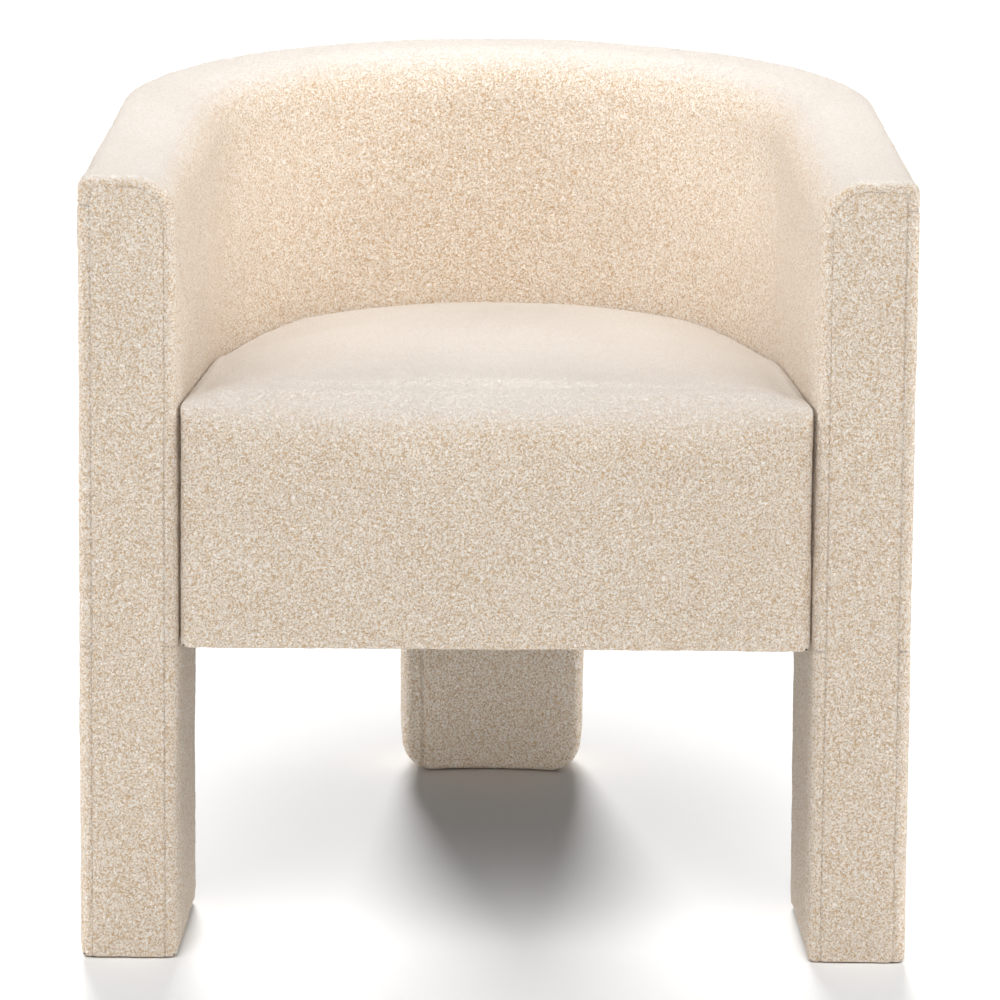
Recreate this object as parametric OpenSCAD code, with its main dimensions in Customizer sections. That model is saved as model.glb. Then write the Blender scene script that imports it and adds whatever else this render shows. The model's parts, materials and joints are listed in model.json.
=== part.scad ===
// Barrel armchair on three legs, fully upholstered.
// The wall of the chair is one band that runs round a horseshoe plan: a half round back with two
// straight arms, which splay out a little to the front. The arms go on down to the floor as the
// front legs, a short length of the back goes down as the rear leg, and a separate seat unit is
// bolted between the arms. Front of the chair is -Y, and the floor is z = 0.

/* [Overall] */
// Depth from the front of the arms to the outside of the back
overall_d = 700; // [660:5:740]
// Height of the top of the arms and back
overall_h = 687; // [660:1:720]
// Outside radius of the half round back
back_r = 337; // [325:1:345]
// Angle by which each arm splays out to the front
splay = 2.8; // [1:0.1:5]
// Thickness of the arms and back over the upholstery
wall_t = 84; // [78:1:92]
// Rounding of the top edge along the inside of the arms and back
inner_edge_r = 26; // [20:1:28]
// Rounding of the top edge along the outside of the arms and back
outer_edge_r = 12; // [10:1:16]

/* [Legs] */
// Height of the underside of the seat and shell
under_h = 278; // [240:1:300]
// Depth of each front leg
leg_d = 180; // [150:5:210]
// Width of the rear leg
rear_leg_w = 172; // [160:2:200]
// Rounding of the lower corners of the rear leg
rear_corner_r = 30; // [24:1:34]

/* [Seat] */
// Height of the seat's top plane at the front
seat_front_h = 498; // [480:1:510]
// Height of the seat's top plane at the back
seat_back_h = 462; // [450:1:480]
// Rounding of the seat's top front edge
seat_edge_r = 40; // [30:1:48]
// Gap between the seat and the arms
seat_gap = 2; // [1.5:0.5:4]

/* [Upholstery] */
// Thickness of the boucle covers
cover_t = 2.5; // [2:0.5:3]
// Thickness of the padding on the inside of the arms and back
inside_foam_t = 24; // [20:1:28]
// Thickness of the padding on the outside
outside_foam_t = 9; // [7:1:11]
// Thickness of the padding on the arm fronts
front_foam_t = 10; // [8:1:14]
// Thickness of the padding on the top edge
top_foam_t = 24; // [22:1:28]
// Thickness of the wadding over the seat foam
wadding_t = 10; // [6:1:12]

/* [Frame] */
// Thickness of the plywood rails
ply_t = 18; // [15:1:20]
// Thickness of the boards that close the frame
board_t = 3; // [2.5:0.5:4]
// Thickness of the posts along the arm
post_t = 34; // [28:1:38]
// Thickness of the seat rails
rail_t = 24; // [20:1:26]
// Height of the seat rails
rail_h = 110; // [100:1:120]
// Height of the middle rail above the floor
mid_rail_z = 440; // [430:1:460]

/* [Springs] */
// Number of sinuous springs
spring_count = 5; // [3:2:5]
// Diameter of the spring wire
wire_d = 3.8; // [3:0.1:4.2]
// Distance between the cross wires of a spring
spring_pitch = 44; // [40:1:50]
// Distance between neighbouring springs
spring_step = 88; // [80:1:92]

/* [Fixings] */
// Thread diameter of the seat bolts
bolt_d = 8; // [6:1:8]
// Height of the seat bolts above the floor
bolt_z = 340; // [335:1:350]
// Diameter of the glides
glide_d = 24; // [18:1:26]
// Height of the glides' heads
glide_h = 3; // [2:0.5:4]

/* [Hidden] */
$fn = 96;

// clearance left between neighbouring pieces, and the overlap of a cutter past what it cuts
fit = 0.25;
past = 1;

// plan: centre of the back's arc, and the front and rear faces
front_y = -overall_d / 2;
back_y = overall_d / 2;
arc_y = back_y - back_r;
leg_back_y = front_y + leg_d;
arm_reach = arc_y - front_y + 60;

// layers of the wall, as radii of the arc: each pair is a piece's inner and outer face
wall_in = back_r - wall_t;
wall_out = back_r;
cover_in = wall_in + cover_t;
cover_out = wall_out - cover_t;
foam_in = [cover_in + fit, cover_in + inside_foam_t];
board_in = [foam_in[1] + fit, foam_in[1] + board_t];
foam_out = [cover_out - outside_foam_t, cover_out - fit];
board_out = [foam_out[0] - board_t, foam_out[0] - fit];
core = [board_in[1] + fit, board_out[0] - fit];
mid_r = (wall_in + wall_out) / 2;

// levels
cloth_t = 1.25;
leg_z = glide_h;
leg_inner_z = leg_z + cloth_t + fit;
shell_z = under_h + cloth_t + fit;
top_foam_z = overall_h - cover_t - top_foam_t;
rail_top_z = top_foam_z - fit;
seam_z = top_foam_z;
post_front_y = front_y + cover_t + front_foam_t + fit;
post_back_y = post_front_y + post_t;
leg_post_y = leg_back_y - cover_t - outside_foam_t - fit;
foot_block_h = 42;

// seat unit
seat_r = wall_in - seat_gap;
seat_in_r = seat_r - cover_t - fit;
rail_in_r = seat_in_r - rail_t;
seat_z = under_h + cloth_t + fit;
seat_rail_top = seat_z + rail_h;
spring_z = seat_rail_top + wire_d / 2 + 1;
felt_t = 4;
felt_z = spring_z + wire_d / 2 + 1;
foam_z = felt_z + felt_t + fit;
slope = (seat_back_h - seat_front_h) / (arc_y + seat_r - front_y);
seat_rail_y = front_y + cover_t + front_foam_t + 2 * fit;

// bolts: distance of each arm bolt in front of the arc's centre
bolt_steps = [60, 260];
stud_w = 40;
back_stud_angles = [45, 90, 135];
bore_d = bolt_d + 1;
washer_d = 22;
washer_t = 1.6;
head_t = 5.5;
tee_d = 10;
tee_flange_d = 20;
tee_flange_t = 1.4;
tee_l = 12;
spacer_d = 36;
nail_d = 3;
nail_l = 20;

// inset of the rear leg's timber from its outline, half width of its foot block, margin of its cloth
rear_core_inset = cover_t + outside_foam_t + fit;
rear_block_half = 40;
rear_cloth_margin = 5;

// triangular blocks in the front corners of the seat frame
corner_leg = 50;
corner_h = 40;
corner_lift = 20;

// sinuous springs: cross wires joined by half loops at alternate ends, held by a saddle at each end.
// The wire has a square section.
wire_half_w = 8;
clip_w = 12;
spring_start_y = seat_rail_y + rail_t / 2;
function spring_end_y(x) = arc_y + sqrt(pow(rail_in_r + rail_t / 2, 2) - x * x);
function spring_turns(x) = floor((spring_end_y(x) - spring_start_y) / spring_pitch);
function wire_step(x) = (spring_end_y(x) - spring_start_y) / spring_turns(x);
spring_xs = [for (i = [0:spring_count - 1]) (i - (spring_count - 1) / 2) * spring_step];

// seat bolts run from inside the seat rail, through the padding, into the studs of the shell
bolt_start = rail_in_r - washer_t - fit;
bolt_l = core[1] - bolt_start - 4;
bolt_head_d = 15;

boucle = [0.93, 0.88, 0.80];
foam_colour = [0.93, 0.90, 0.72];
wadding_colour = [0.96, 0.96, 0.94];
ply_colour = [0.82, 0.68, 0.48];
hardwood = [0.74, 0.58, 0.40];
board_colour = [0.55, 0.42, 0.30];
felt_colour = [0.55, 0.55, 0.53];
cloth_colour = [0.16, 0.16, 0.17];
steel = [0.72, 0.72, 0.74];
glide_colour = [0.13, 0.12, 0.12];

// ---- shapes that follow the plan ----

// half width of the plan at depth y, for the layer of radius r
function arm_x(r, y) = (r + (arc_y - y) * sin(splay)) / cos(splay);

// the half round back, swept from a profile of radius and height
module back_band() {
    translate([0, arc_y, 0])
        rotate([0, 0, splay])
            rotate_extrude(angle = 180 - 2 * splay) children();
}

// places its child along the right arm: x is the radius, and -y runs to the front
module on_arm() {
    translate([0, arc_y, 0])
        rotate([0, 0, splay]) children();
}

// the straight right arm, swept from the same profile between two depths
module arm_band(y0, y1) {
    intersection() {
        on_arm()
            rotate([90, 0, 0])
                linear_extrude(height = arm_reach) children();
        translate([0, y0, -past])
            cube([2 * overall_d, y1 - y0, overall_h + 2 * past]);
    }
}

module both_sides() {
    children();
    mirror([1, 0, 0]) children();
}

// the whole horseshoe, from depth y0 at the front of the arms
module horseshoe(y0) {
    back_band() children();
    both_sides() arm_band(y0, back_y) children();
}

// the plan filled in, as the seat unit and its layers are
module plan_block(r, y0, z0, z1) {
    tangent_x = r * cos(splay);
    tangent_y = arc_y + r * sin(splay);
    h = z1 - z0;
    intersection() {
        translate([0, arc_y, z0]) cylinder(r = r, h = h);
        translate([-r, tangent_y, z0]) cube([2 * r, r, h]);
    }
    translate([0, 0, z0])
        linear_extrude(height = h)
            polygon([
                [tangent_x, tangent_y],
                [arm_x(r, y0), y0],
                [-arm_x(r, y0), y0],
                [-tangent_x, tangent_y]
            ]);
}

// a strip of the wall's profile, between two radii and two heights
module strip(layer, z0, z1) {
    translate([layer[0], z0]) square([layer[1] - layer[0], z1 - z0]);
}

// the wall's whole profile, with its two top edges rounded, drawn in from each face by inset
module wall_profile(z0, inset) {
    in_r = inner_edge_r - inset;
    out_r = outer_edge_r - inset;
    lo = wall_in + inset;
    hi = wall_out - inset;
    top = overall_h - inset;
    translate([lo, z0]) square([hi - lo, top - in_r - z0]);
    translate([lo + in_r, top - in_r]) square([hi - lo - in_r - out_r, in_r]);
    translate([hi - out_r, top - in_r]) square([out_r, in_r - out_r]);
    intersection() {
        translate([lo + in_r, top - in_r]) circle(in_r);
        translate([lo, top - in_r]) square(in_r);
    }
    intersection() {
        translate([hi - out_r, top - out_r]) circle(out_r);
        translate([hi - out_r, top - out_r]) square(out_r);
    }
}

// the rear leg's outline from the front, drawn in by inset, with its lower corners rounded
module rear_outline(inset, z0, z1) {
    half = rear_leg_w / 2 - inset;
    r = rear_corner_r - inset;
    z = leg_z + inset;
    rotate([90, 0, 0])
        linear_extrude(height = 2 * overall_d, center = true)
            intersection() {
                union() {
                    translate([-half, z + r]) square([2 * half, overall_h]);
                    translate([-half + r, z]) square([2 * half - 2 * r, r]);
                    for (side = [-1, 1])
                        intersection() {
                            translate([side * (half - r), z + r]) circle(r);
                            translate([side * (half - r / 2), z + r / 2]) square(r, center = true);
                        }
                }
                translate([-overall_d, z0]) square([2 * overall_d, z1 - z0]);
            }
}

// a layer of the rear leg
module rear_layer(layer, inset, z0, z1) {
    intersection() {
        back_band() strip(layer, 0, under_h + past);
        rear_outline(inset, z0, z1);
    }
}

// the flat part of the rear leg's underside, drawn in by margin
module rear_bottom(margin, z0, z1) {
    half = rear_leg_w / 2 - rear_corner_r - margin;
    intersection() {
        back_band() strip([cover_in + margin, cover_out - margin], z0, z1);
        translate([-half, 0, z0 - past]) cube([2 * half, overall_d, z1 - z0 + 2 * past]);
    }
}

// places its child at each seat bolt: x is the radius, pointing out through the wall
module at_bolts() {
    both_sides()
        for (step = bolt_steps)
            on_arm() translate([0, -step, bolt_z]) children();
    translate([0, arc_y, bolt_z]) rotate([0, 0, 90]) children();
}

module bolt_bores(d, layer) {
    at_bolts()
        translate([layer[0] - past, 0, 0])
            rotate([0, 90, 0]) cylinder(d = d, h = layer[1] - layer[0] + 2 * past);
}

// ---- frame of the shell ----

module top_rail() {
    color(ply_colour)
        horseshoe(post_back_y + fit) strip(core, rail_top_z - ply_t, rail_top_z);
}

module mid_rail() {
    color(ply_colour)
        horseshoe(post_back_y + fit) strip(core, mid_rail_z, mid_rail_z + ply_t);
}

module arm_lower_rails() {
    color(ply_colour)
        both_sides()
            arm_band(post_back_y + fit, back_y) strip(core, shell_z, shell_z + ply_t);
}

module back_lower_rail() {
    color(ply_colour) back_band() strip(core, shell_z, shell_z + ply_t);
}

module front_post() {
    difference() {
        arm_band(post_front_y, post_back_y) strip(core, leg_inner_z, rail_top_z);
        at_front_glides() nail_bore();
    }
}

module left_front_post() {
    color(hardwood) mirror([1, 0, 0]) front_post();
}

module right_front_post() {
    color(hardwood) front_post();
}

module leg_post() {
    difference() {
        arm_band(leg_post_y - post_t, leg_post_y) strip(core, leg_inner_z, shell_z - fit);
        at_front_glides() nail_bore();
    }
}

module left_leg_post() {
    color(hardwood) mirror([1, 0, 0]) leg_post();
}

module right_leg_post() {
    color(hardwood) leg_post();
}

module rear_leg_posts() {
    color(hardwood)
        difference() {
            rear_layer(core, rear_core_inset, leg_inner_z, shell_z - fit);
            translate([-rear_block_half, 0, 0]) cube([2 * rear_block_half, overall_d, overall_h]);
        }
}

module foot_block() {
    arm_band(post_back_y + fit, leg_post_y - post_t - fit)
        strip(core, leg_inner_z, leg_inner_z + foot_block_h);
}

module left_foot_block() {
    color(hardwood) mirror([1, 0, 0]) foot_block();
}

module right_foot_block() {
    color(hardwood) foot_block();
}

module rear_foot_block() {
    color(hardwood)
        difference() {
            intersection() {
                back_band() strip(core, leg_inner_z, leg_inner_z + foot_block_h);
                translate([fit - rear_block_half, 0, 0])
                    cube([2 * rear_block_half - 2 * fit, overall_d, under_h]);
            }
            at_rear_glides() nail_bore();
        }
}

// uprights between two levels, one at each bolt and two more in the curve
module studs(z0, z1) {
    both_sides()
        for (step = bolt_steps)
            on_arm()
                translate([core[0], -step - stud_w / 2, z0])
                    cube([core[1] - core[0], stud_w, z1 - z0]);
    for (a = back_stud_angles)
        intersection() {
            back_band() strip(core, z0, z1);
            translate([0, arc_y, 0])
                rotate([0, 0, a])
                    translate([0, -stud_w / 2, 0]) cube([back_r, stud_w, overall_h]);
        }
}

module lower_studs() {
    color(hardwood)
        difference() {
            studs(shell_z + ply_t + fit, mid_rail_z - fit);
            bolt_bores(bore_d, core);
            // barrel and flange of each tee nut
            at_bolts()
                translate([core[1] - tee_l - fit, 0, 0])
                    rotate([0, 90, 0]) cylinder(d = tee_d + fit, h = tee_l + past);
            at_bolts()
                translate([core[1] - tee_flange_t - 2 * fit, 0, 0])
                    rotate([0, 90, 0]) cylinder(d = tee_flange_d + 1, h = 4 * tee_flange_t);
        }
}

module upper_studs() {
    color(hardwood) studs(mid_rail_z + ply_t + fit, rail_top_z - ply_t - fit);
}

module inner_panel() {
    color(board_colour)
        difference() {
            horseshoe(post_front_y) strip(board_in, shell_z, rail_top_z);
            bolt_bores(bore_d, board_in);
        }
}

module outer_panel() {
    color(board_colour)
        horseshoe(post_front_y) strip(board_out, shell_z, rail_top_z);
}

module front_leg_panels() {
    color(board_colour)
        both_sides()
            arm_band(post_front_y, leg_post_y) {
                strip(board_in, leg_inner_z, shell_z - fit);
                strip(board_out, leg_inner_z, shell_z - fit);
            }
}

module rear_leg_panels() {
    color(board_colour) {
        rear_layer(board_in, rear_core_inset, leg_inner_z, shell_z - fit);
        rear_layer(board_out, rear_core_inset, leg_inner_z, shell_z - fit);
    }
}

// ---- padding of the shell ----

module arm_inside_foams() {
    color(foam_colour)
        both_sides()
            difference() {
                arm_band(post_front_y, back_y) strip(foam_in, shell_z, rail_top_z);
                for (step = bolt_steps)
                    on_arm()
                        translate([foam_in[0] - past, -step, bolt_z])
                            rotate([0, 90, 0]) cylinder(d = spacer_d + fit, h = inside_foam_t + 2 * past);
            }
}

module back_inside_foam() {
    color(foam_colour)
        difference() {
            back_band() strip(foam_in, shell_z, rail_top_z);
            translate([0, arc_y + foam_in[0] - past - 1, bolt_z])
                rotate([-90, 0, 0]) cylinder(d = spacer_d + fit, h = inside_foam_t + 3 * past);
        }
}

module arm_outside_foams() {
    color(foam_colour)
        both_sides() arm_band(post_front_y, back_y) strip(foam_out, shell_z, rail_top_z);
}

module back_outside_foam() {
    color(foam_colour) back_band() strip(foam_out, shell_z, rail_top_z);
}

module arm_top_foams() {
    color(foam_colour)
        both_sides() arm_band(post_front_y, back_y) wall_profile(top_foam_z, cover_t + fit);
}

module back_top_foam() {
    color(foam_colour) back_band() wall_profile(top_foam_z, cover_t + fit);
}

module arm_front_foam() {
    arm_band(front_y + cover_t + fit, post_front_y - fit)
        wall_profile(leg_inner_z, cover_t + fit);
}

module left_arm_front_foam() {
    color(foam_colour) mirror([1, 0, 0]) arm_front_foam();
}

module right_arm_front_foam() {
    color(foam_colour) arm_front_foam();
}

// padding round the inner, outer and rear sides of a front leg
module leg_foam() {
    difference() {
        arm_band(post_front_y, leg_back_y - cover_t - fit)
            strip([foam_in[0], foam_out[1]], leg_inner_z, under_h - fit);
        arm_band(front_y, leg_post_y + fit)
            strip([foam_in[1], foam_out[0]], 0, under_h + past);
    }
}

module left_leg_foam() {
    color(foam_colour) mirror([1, 0, 0]) leg_foam();
}

module right_leg_foam() {
    color(foam_colour) leg_foam();
}

module rear_leg_foam() {
    color(foam_colour)
        difference() {
            rear_layer([foam_in[0], foam_out[1]], cover_t + fit, leg_inner_z, under_h - fit);
            intersection() {
                back_band() strip([foam_in[1], foam_out[0]], 0, under_h + past);
                rear_outline(rear_core_inset - fit, 0, under_h + past);
            }
            // room for the foot block
            intersection() {
                back_band() strip([foam_in[1], foam_out[0]], 0, foot_block_h);
                translate([-rear_block_half, 0, -past]) cube([2 * rear_block_half, overall_d, foot_block_h]);
            }
        }
}

// ---- covers of the shell ----

// over the inside, the top edge and down to a seam outside
module inside_cover() {
    color(boucle)
        difference() {
            horseshoe(front_y + cover_t + fit)
                difference() {
                    wall_profile(under_h, 0);
                    wall_profile(under_h - past, cover_t);
                    strip([mid_r, wall_out + past], under_h - past, seam_z);
                }
            bolt_bores(bore_d, [wall_in, cover_in]);
        }
}

module outside_cover() {
    color(boucle)
        horseshoe(front_y + cover_t + fit) strip([cover_out, wall_out], under_h, seam_z - fit);
}

module arm_front_cover() {
    arm_band(front_y, front_y + cover_t) wall_profile(leg_z, 0);
}

module left_arm_front_cover() {
    color(boucle) mirror([1, 0, 0]) arm_front_cover();
}

module right_arm_front_cover() {
    color(boucle) arm_front_cover();
}

module leg_cover() {
    difference() {
        arm_band(front_y + cover_t + fit, leg_back_y)
            strip([wall_in, wall_out], leg_z, under_h - fit);
        arm_band(front_y, leg_back_y - cover_t)
            strip([cover_in, cover_out], 0, under_h + past);
    }
}

module left_leg_cover() {
    color(boucle) mirror([1, 0, 0]) leg_cover();
}

module right_leg_cover() {
    color(boucle) leg_cover();
}

module rear_leg_cover() {
    color(boucle)
        difference() {
            rear_layer([wall_in, wall_out], 0, leg_z, under_h - fit);
            intersection() {
                back_band() strip([cover_in, cover_out], 0, under_h + past);
                rear_outline(cover_t, 0, under_h + past);
            }
            // open below, where the cloth closes the leg
            rear_bottom(rear_cloth_margin, 0, leg_z + cover_t + past);
        }
}

// cloth under the shell between the front legs and the rear leg
module shell_bottom_cloths() {
    color(cloth_colour)
        difference() {
            horseshoe(leg_back_y + fit) strip([cover_in + fit, cover_out - fit], under_h, under_h + cloth_t);
            translate([-rear_leg_w / 2, arc_y, 0]) cube([rear_leg_w, overall_d, overall_h]);
        }
}

module leg_bottom_cloths() {
    color(cloth_colour)
        difference() {
            union() {
                both_sides()
                    arm_band(front_y + cover_t + fit, leg_back_y - cover_t - fit)
                        strip([cover_in + fit, cover_out - fit], leg_z, leg_z + cloth_t);
                rear_bottom(rear_cloth_margin + fit, leg_z, leg_z + cloth_t);
            }
            at_front_glides() nail_bore();
            mirror([1, 0, 0]) at_front_glides() nail_bore();
            at_rear_glides() nail_bore();
        }
}

// ---- seat unit ----

// everything below the seat's sloping top, drawn down by drop, and rounded at the front
module under_seat_top(drop, y0) {
    r = seat_edge_r - drop;
    front_h = seat_front_h - drop + slope * (y0 - front_y);
    back_h = front_h + slope * (back_y - y0);
    tilt = atan(slope);
    centre_y = y0 + r;
    centre_h = front_h + slope * r - r / cos(tilt);
    touch_y = centre_y - r * sin(tilt);
    touch_h = centre_h + r * cos(tilt);
    rotate([90, 0, 90])
        linear_extrude(height = 2 * overall_d, center = true) {
            polygon([
                [y0, 0],
                [back_y, 0],
                [back_y, back_h],
                [touch_y, touch_h],
                [centre_y, centre_h],
                [y0, centre_h]
            ]);
            intersection() {
                translate([centre_y, centre_h]) circle(r);
                polygon([
                    [centre_y, centre_h],
                    [touch_y, touch_h],
                    [touch_y, touch_h + r],
                    [y0 - r, touch_h + r],
                    [y0 - r, centre_h]
                ]);
            }
        }
}

// a layer of the seat with the sloping, rounded top
module seat_layer(r, y0, z0, drop) {
    intersection() {
        plan_block(r, y0, z0, overall_h);
        under_seat_top(drop, y0);
    }
}

module seat_front_rail() {
    color(hardwood)
        intersection() {
            plan_block(rail_in_r - fit, seat_rail_y, seat_z, seat_rail_top);
            translate([-overall_d, seat_rail_y, 0]) cube([2 * overall_d, rail_t, overall_h]);
        }
}

module seat_side_rail() {
    difference() {
        arm_band(seat_rail_y, back_y) strip([rail_in_r, seat_in_r], seat_z, seat_rail_top);
        bolt_bores(bore_d, [rail_in_r, seat_in_r]);
    }
}

module seat_left_rail() {
    color(hardwood) mirror([1, 0, 0]) seat_side_rail();
}

module seat_right_rail() {
    color(hardwood) seat_side_rail();
}

module seat_back_rail() {
    color(ply_colour)
        difference() {
            back_band() strip([rail_in_r, seat_in_r], seat_z, seat_rail_top);
            bolt_bores(bore_d, [rail_in_r, seat_in_r]);
        }
}

module seat_corner_blocks() {
    corner_y = seat_rail_y + rail_t + fit;
    corner_x = arm_x(rail_in_r - fit, corner_y + corner_leg);
    color(hardwood)
        both_sides()
            translate([0, 0, seat_z + corner_lift])
                linear_extrude(height = corner_h)
                    polygon([
                        [corner_x - corner_leg, corner_y],
                        [arm_x(rail_in_r - fit, corner_y), corner_y],
                        [corner_x, corner_y + corner_leg]
                    ]);
}

// half of a flat ring, on the side given as 1 or -1
module half_loop(r, side) {
    intersection() {
        difference() {
            circle(r + wire_d / 2);
            circle(r - wire_d / 2);
        }
        translate([side > 0 ? 0 : -2 * r, -2 * r]) square([2 * r, 4 * r]);
    }
}

module spring(x) {
    turns = spring_turns(x);
    step = wire_step(x);
    translate([x, spring_start_y, spring_z - wire_d / 2])
        linear_extrude(height = wire_d) {
            for (i = [0:turns])
                translate([-wire_half_w, i * step - wire_d / 2]) square([2 * wire_half_w, wire_d]);
            for (i = [0:turns - 1]) {
                side = i % 2 == 0 ? 1 : -1;
                translate([side * wire_half_w, (i + 0.5) * step]) half_loop(step / 2, side);
            }
        }
}

module seat_springs() {
    color(steel) for (x = spring_xs) spring(x);
}

// a saddle that holds an end wire down on its rail
module spring_clip() {
    difference() {
        translate([-clip_w / 2, -clip_w / 2, seat_rail_top + fit])
            cube([clip_w, clip_w, felt_z - seat_rail_top - 2 * fit]);
        translate([0, 0, spring_z]) cube([2 * clip_w, wire_d + fit, wire_d + fit], center = true);
    }
}

module spring_clips() {
    color(steel)
        for (x = spring_xs)
            for (y = [spring_start_y, spring_end_y(x)])
                translate([x, y, 0]) spring_clip();
}

module seat_felt() {
    color(felt_colour) plan_block(seat_in_r, seat_rail_y, felt_z, felt_z + felt_t);
}

module seat_foam() {
    color(foam_colour)
        seat_layer(seat_in_r, seat_rail_y, foam_z, cover_t + wadding_t + 2 * fit);
}

module seat_front_foam() {
    color(foam_colour)
        intersection() {
            plan_block(seat_in_r, front_y + cover_t + fit, seat_z, seat_front_h - seat_edge_r);
            translate([-overall_d, front_y + cover_t + fit, 0])
                cube([2 * overall_d, front_foam_t, overall_h]);
        }
}

module seat_wadding() {
    color(wadding_colour)
        difference() {
            seat_layer(seat_in_r, seat_rail_y, foam_z, cover_t + fit);
            seat_layer(seat_in_r + past, seat_rail_y - past, 0, cover_t + wadding_t + fit);
        }
}

module seat_cover() {
    color(boucle)
        difference() {
            seat_layer(seat_r, front_y, under_h, 0);
            seat_layer(seat_r - cover_t, front_y + cover_t, 0, cover_t);
            bolt_bores(bore_d, [seat_r - cover_t, seat_r]);
        }
}

module seat_dust_cover() {
    color(cloth_colour)
        plan_block(seat_in_r, front_y + cover_t + fit, under_h, under_h + cloth_t);
}

// ---- fixings ----

module along_bolt(r) {
    translate([r, 0, 0]) rotate([0, 90, 0]) children();
}

module seat_bolts() {
    color(steel)
        at_bolts() {
            along_bolt(bolt_start) cylinder(d = bolt_d, h = bolt_l);
            along_bolt(bolt_start - head_t) cylinder(d = bolt_head_d, h = head_t, $fn = 6);
        }
}

module seat_washers() {
    color(steel)
        at_bolts()
            along_bolt(rail_in_r - washer_t)
                difference() {
                    cylinder(d = washer_d, h = washer_t - fit);
                    translate([0, 0, -past]) cylinder(d = bolt_d + 0.5, h = washer_t + 2 * past);
                }
}

module tee_nuts() {
    color(steel)
        at_bolts()
            difference() {
                union() {
                    along_bolt(core[1] - tee_l) cylinder(d = tee_d, h = tee_l - fit);
                    along_bolt(core[1] - tee_flange_t - fit) cylinder(d = tee_flange_d, h = tee_flange_t);
                }
                along_bolt(core[1] - tee_l - past) cylinder(d = bolt_d + 0.2, h = tee_l + 2 * past);
            }
}

module seat_spacers() {
    color(hardwood)
        at_bolts()
            difference() {
                along_bolt(foam_in[0] + 2 * fit)
                    cylinder(d = spacer_d - fit, h = inside_foam_t - 6 * fit);
                along_bolt(foam_in[0] - past) cylinder(d = bore_d, h = inside_foam_t + 2 * past);
            }
}

module at_front_glides() {
    for (y = [(post_front_y + post_back_y) / 2, leg_post_y - post_t / 2])
        translate([arm_x(mid_r, y), y, 0]) children();
}

// the rear glides stand under the rear foot block
module at_rear_glides() {
    for (x = [-1, 1])
        translate([x * (rear_block_half - glide_d / 2), arc_y + (core[0] + core[1]) / 2, 0]) children();
}

module nail_bore() {
    cylinder(d = nail_d + fit, h = leg_z + nail_l + past, $fn = 24);
}

module glide() {
    cylinder(d = glide_d - 2 * fit, h = glide_h - fit);
    cylinder(d = nail_d, h = glide_h + nail_l, $fn = 24);
}

module left_glides() {
    color(glide_colour) mirror([1, 0, 0]) at_front_glides() glide();
}

module right_glides() {
    color(glide_colour) at_front_glides() glide();
}

module rear_glides() {
    color(glide_colour) at_rear_glides() glide();
}

top_rail();
mid_rail();
arm_lower_rails();
back_lower_rail();
left_front_post();
right_front_post();
left_leg_post();
right_leg_post();
rear_leg_posts();
left_foot_block();
right_foot_block();
rear_foot_block();
lower_studs();
upper_studs();
inner_panel();
outer_panel();
front_leg_panels();
rear_leg_panels();
arm_inside_foams();
back_inside_foam();
arm_outside_foams();
back_outside_foam();
arm_top_foams();
back_top_foam();
left_arm_front_foam();
right_arm_front_foam();
left_leg_foam();
right_leg_foam();
rear_leg_foam();
inside_cover();
outside_cover();
left_arm_front_cover();
right_arm_front_cover();
left_leg_cover();
right_leg_cover();
rear_leg_cover();
shell_bottom_cloths();
leg_bottom_cloths();
seat_front_rail();
seat_left_rail();
seat_right_rail();
seat_back_rail();
seat_corner_blocks();
seat_springs();
spring_clips();
seat_felt();
seat_foam();
seat_front_foam();
seat_wadding();
seat_cover();
seat_dust_cover();
seat_bolts();
seat_washers();
tee_nuts();
seat_spacers();
left_glides();
right_glides();
rear_glides();
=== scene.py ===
"""Upholstered barrel armchair: boucle padding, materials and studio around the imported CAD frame."""
import json
import math

import bmesh
import bpy
import numpy as np
from mathutils import Matrix, Vector
from mathutils.kdtree import KDTree


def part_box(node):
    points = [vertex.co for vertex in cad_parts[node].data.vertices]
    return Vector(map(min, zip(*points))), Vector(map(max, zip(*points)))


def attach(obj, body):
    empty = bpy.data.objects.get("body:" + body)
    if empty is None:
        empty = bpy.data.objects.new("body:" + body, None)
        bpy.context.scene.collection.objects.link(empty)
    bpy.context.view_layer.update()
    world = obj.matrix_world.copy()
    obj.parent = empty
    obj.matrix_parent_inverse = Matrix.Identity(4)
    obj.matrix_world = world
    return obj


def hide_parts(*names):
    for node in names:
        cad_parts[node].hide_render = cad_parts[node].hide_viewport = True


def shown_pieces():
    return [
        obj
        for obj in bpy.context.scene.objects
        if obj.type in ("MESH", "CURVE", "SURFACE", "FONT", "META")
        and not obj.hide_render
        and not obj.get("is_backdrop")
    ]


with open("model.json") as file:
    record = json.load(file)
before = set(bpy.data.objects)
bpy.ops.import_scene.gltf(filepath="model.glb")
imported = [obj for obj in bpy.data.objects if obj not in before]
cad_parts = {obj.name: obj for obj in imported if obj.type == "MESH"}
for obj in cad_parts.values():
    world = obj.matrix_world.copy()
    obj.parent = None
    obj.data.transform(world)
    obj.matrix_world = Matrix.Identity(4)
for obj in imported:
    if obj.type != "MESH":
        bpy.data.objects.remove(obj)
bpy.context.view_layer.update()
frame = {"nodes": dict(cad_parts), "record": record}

MM = 0.001

# ---- the chair's own dimensions, as in the CAD source, in metres ----

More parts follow.
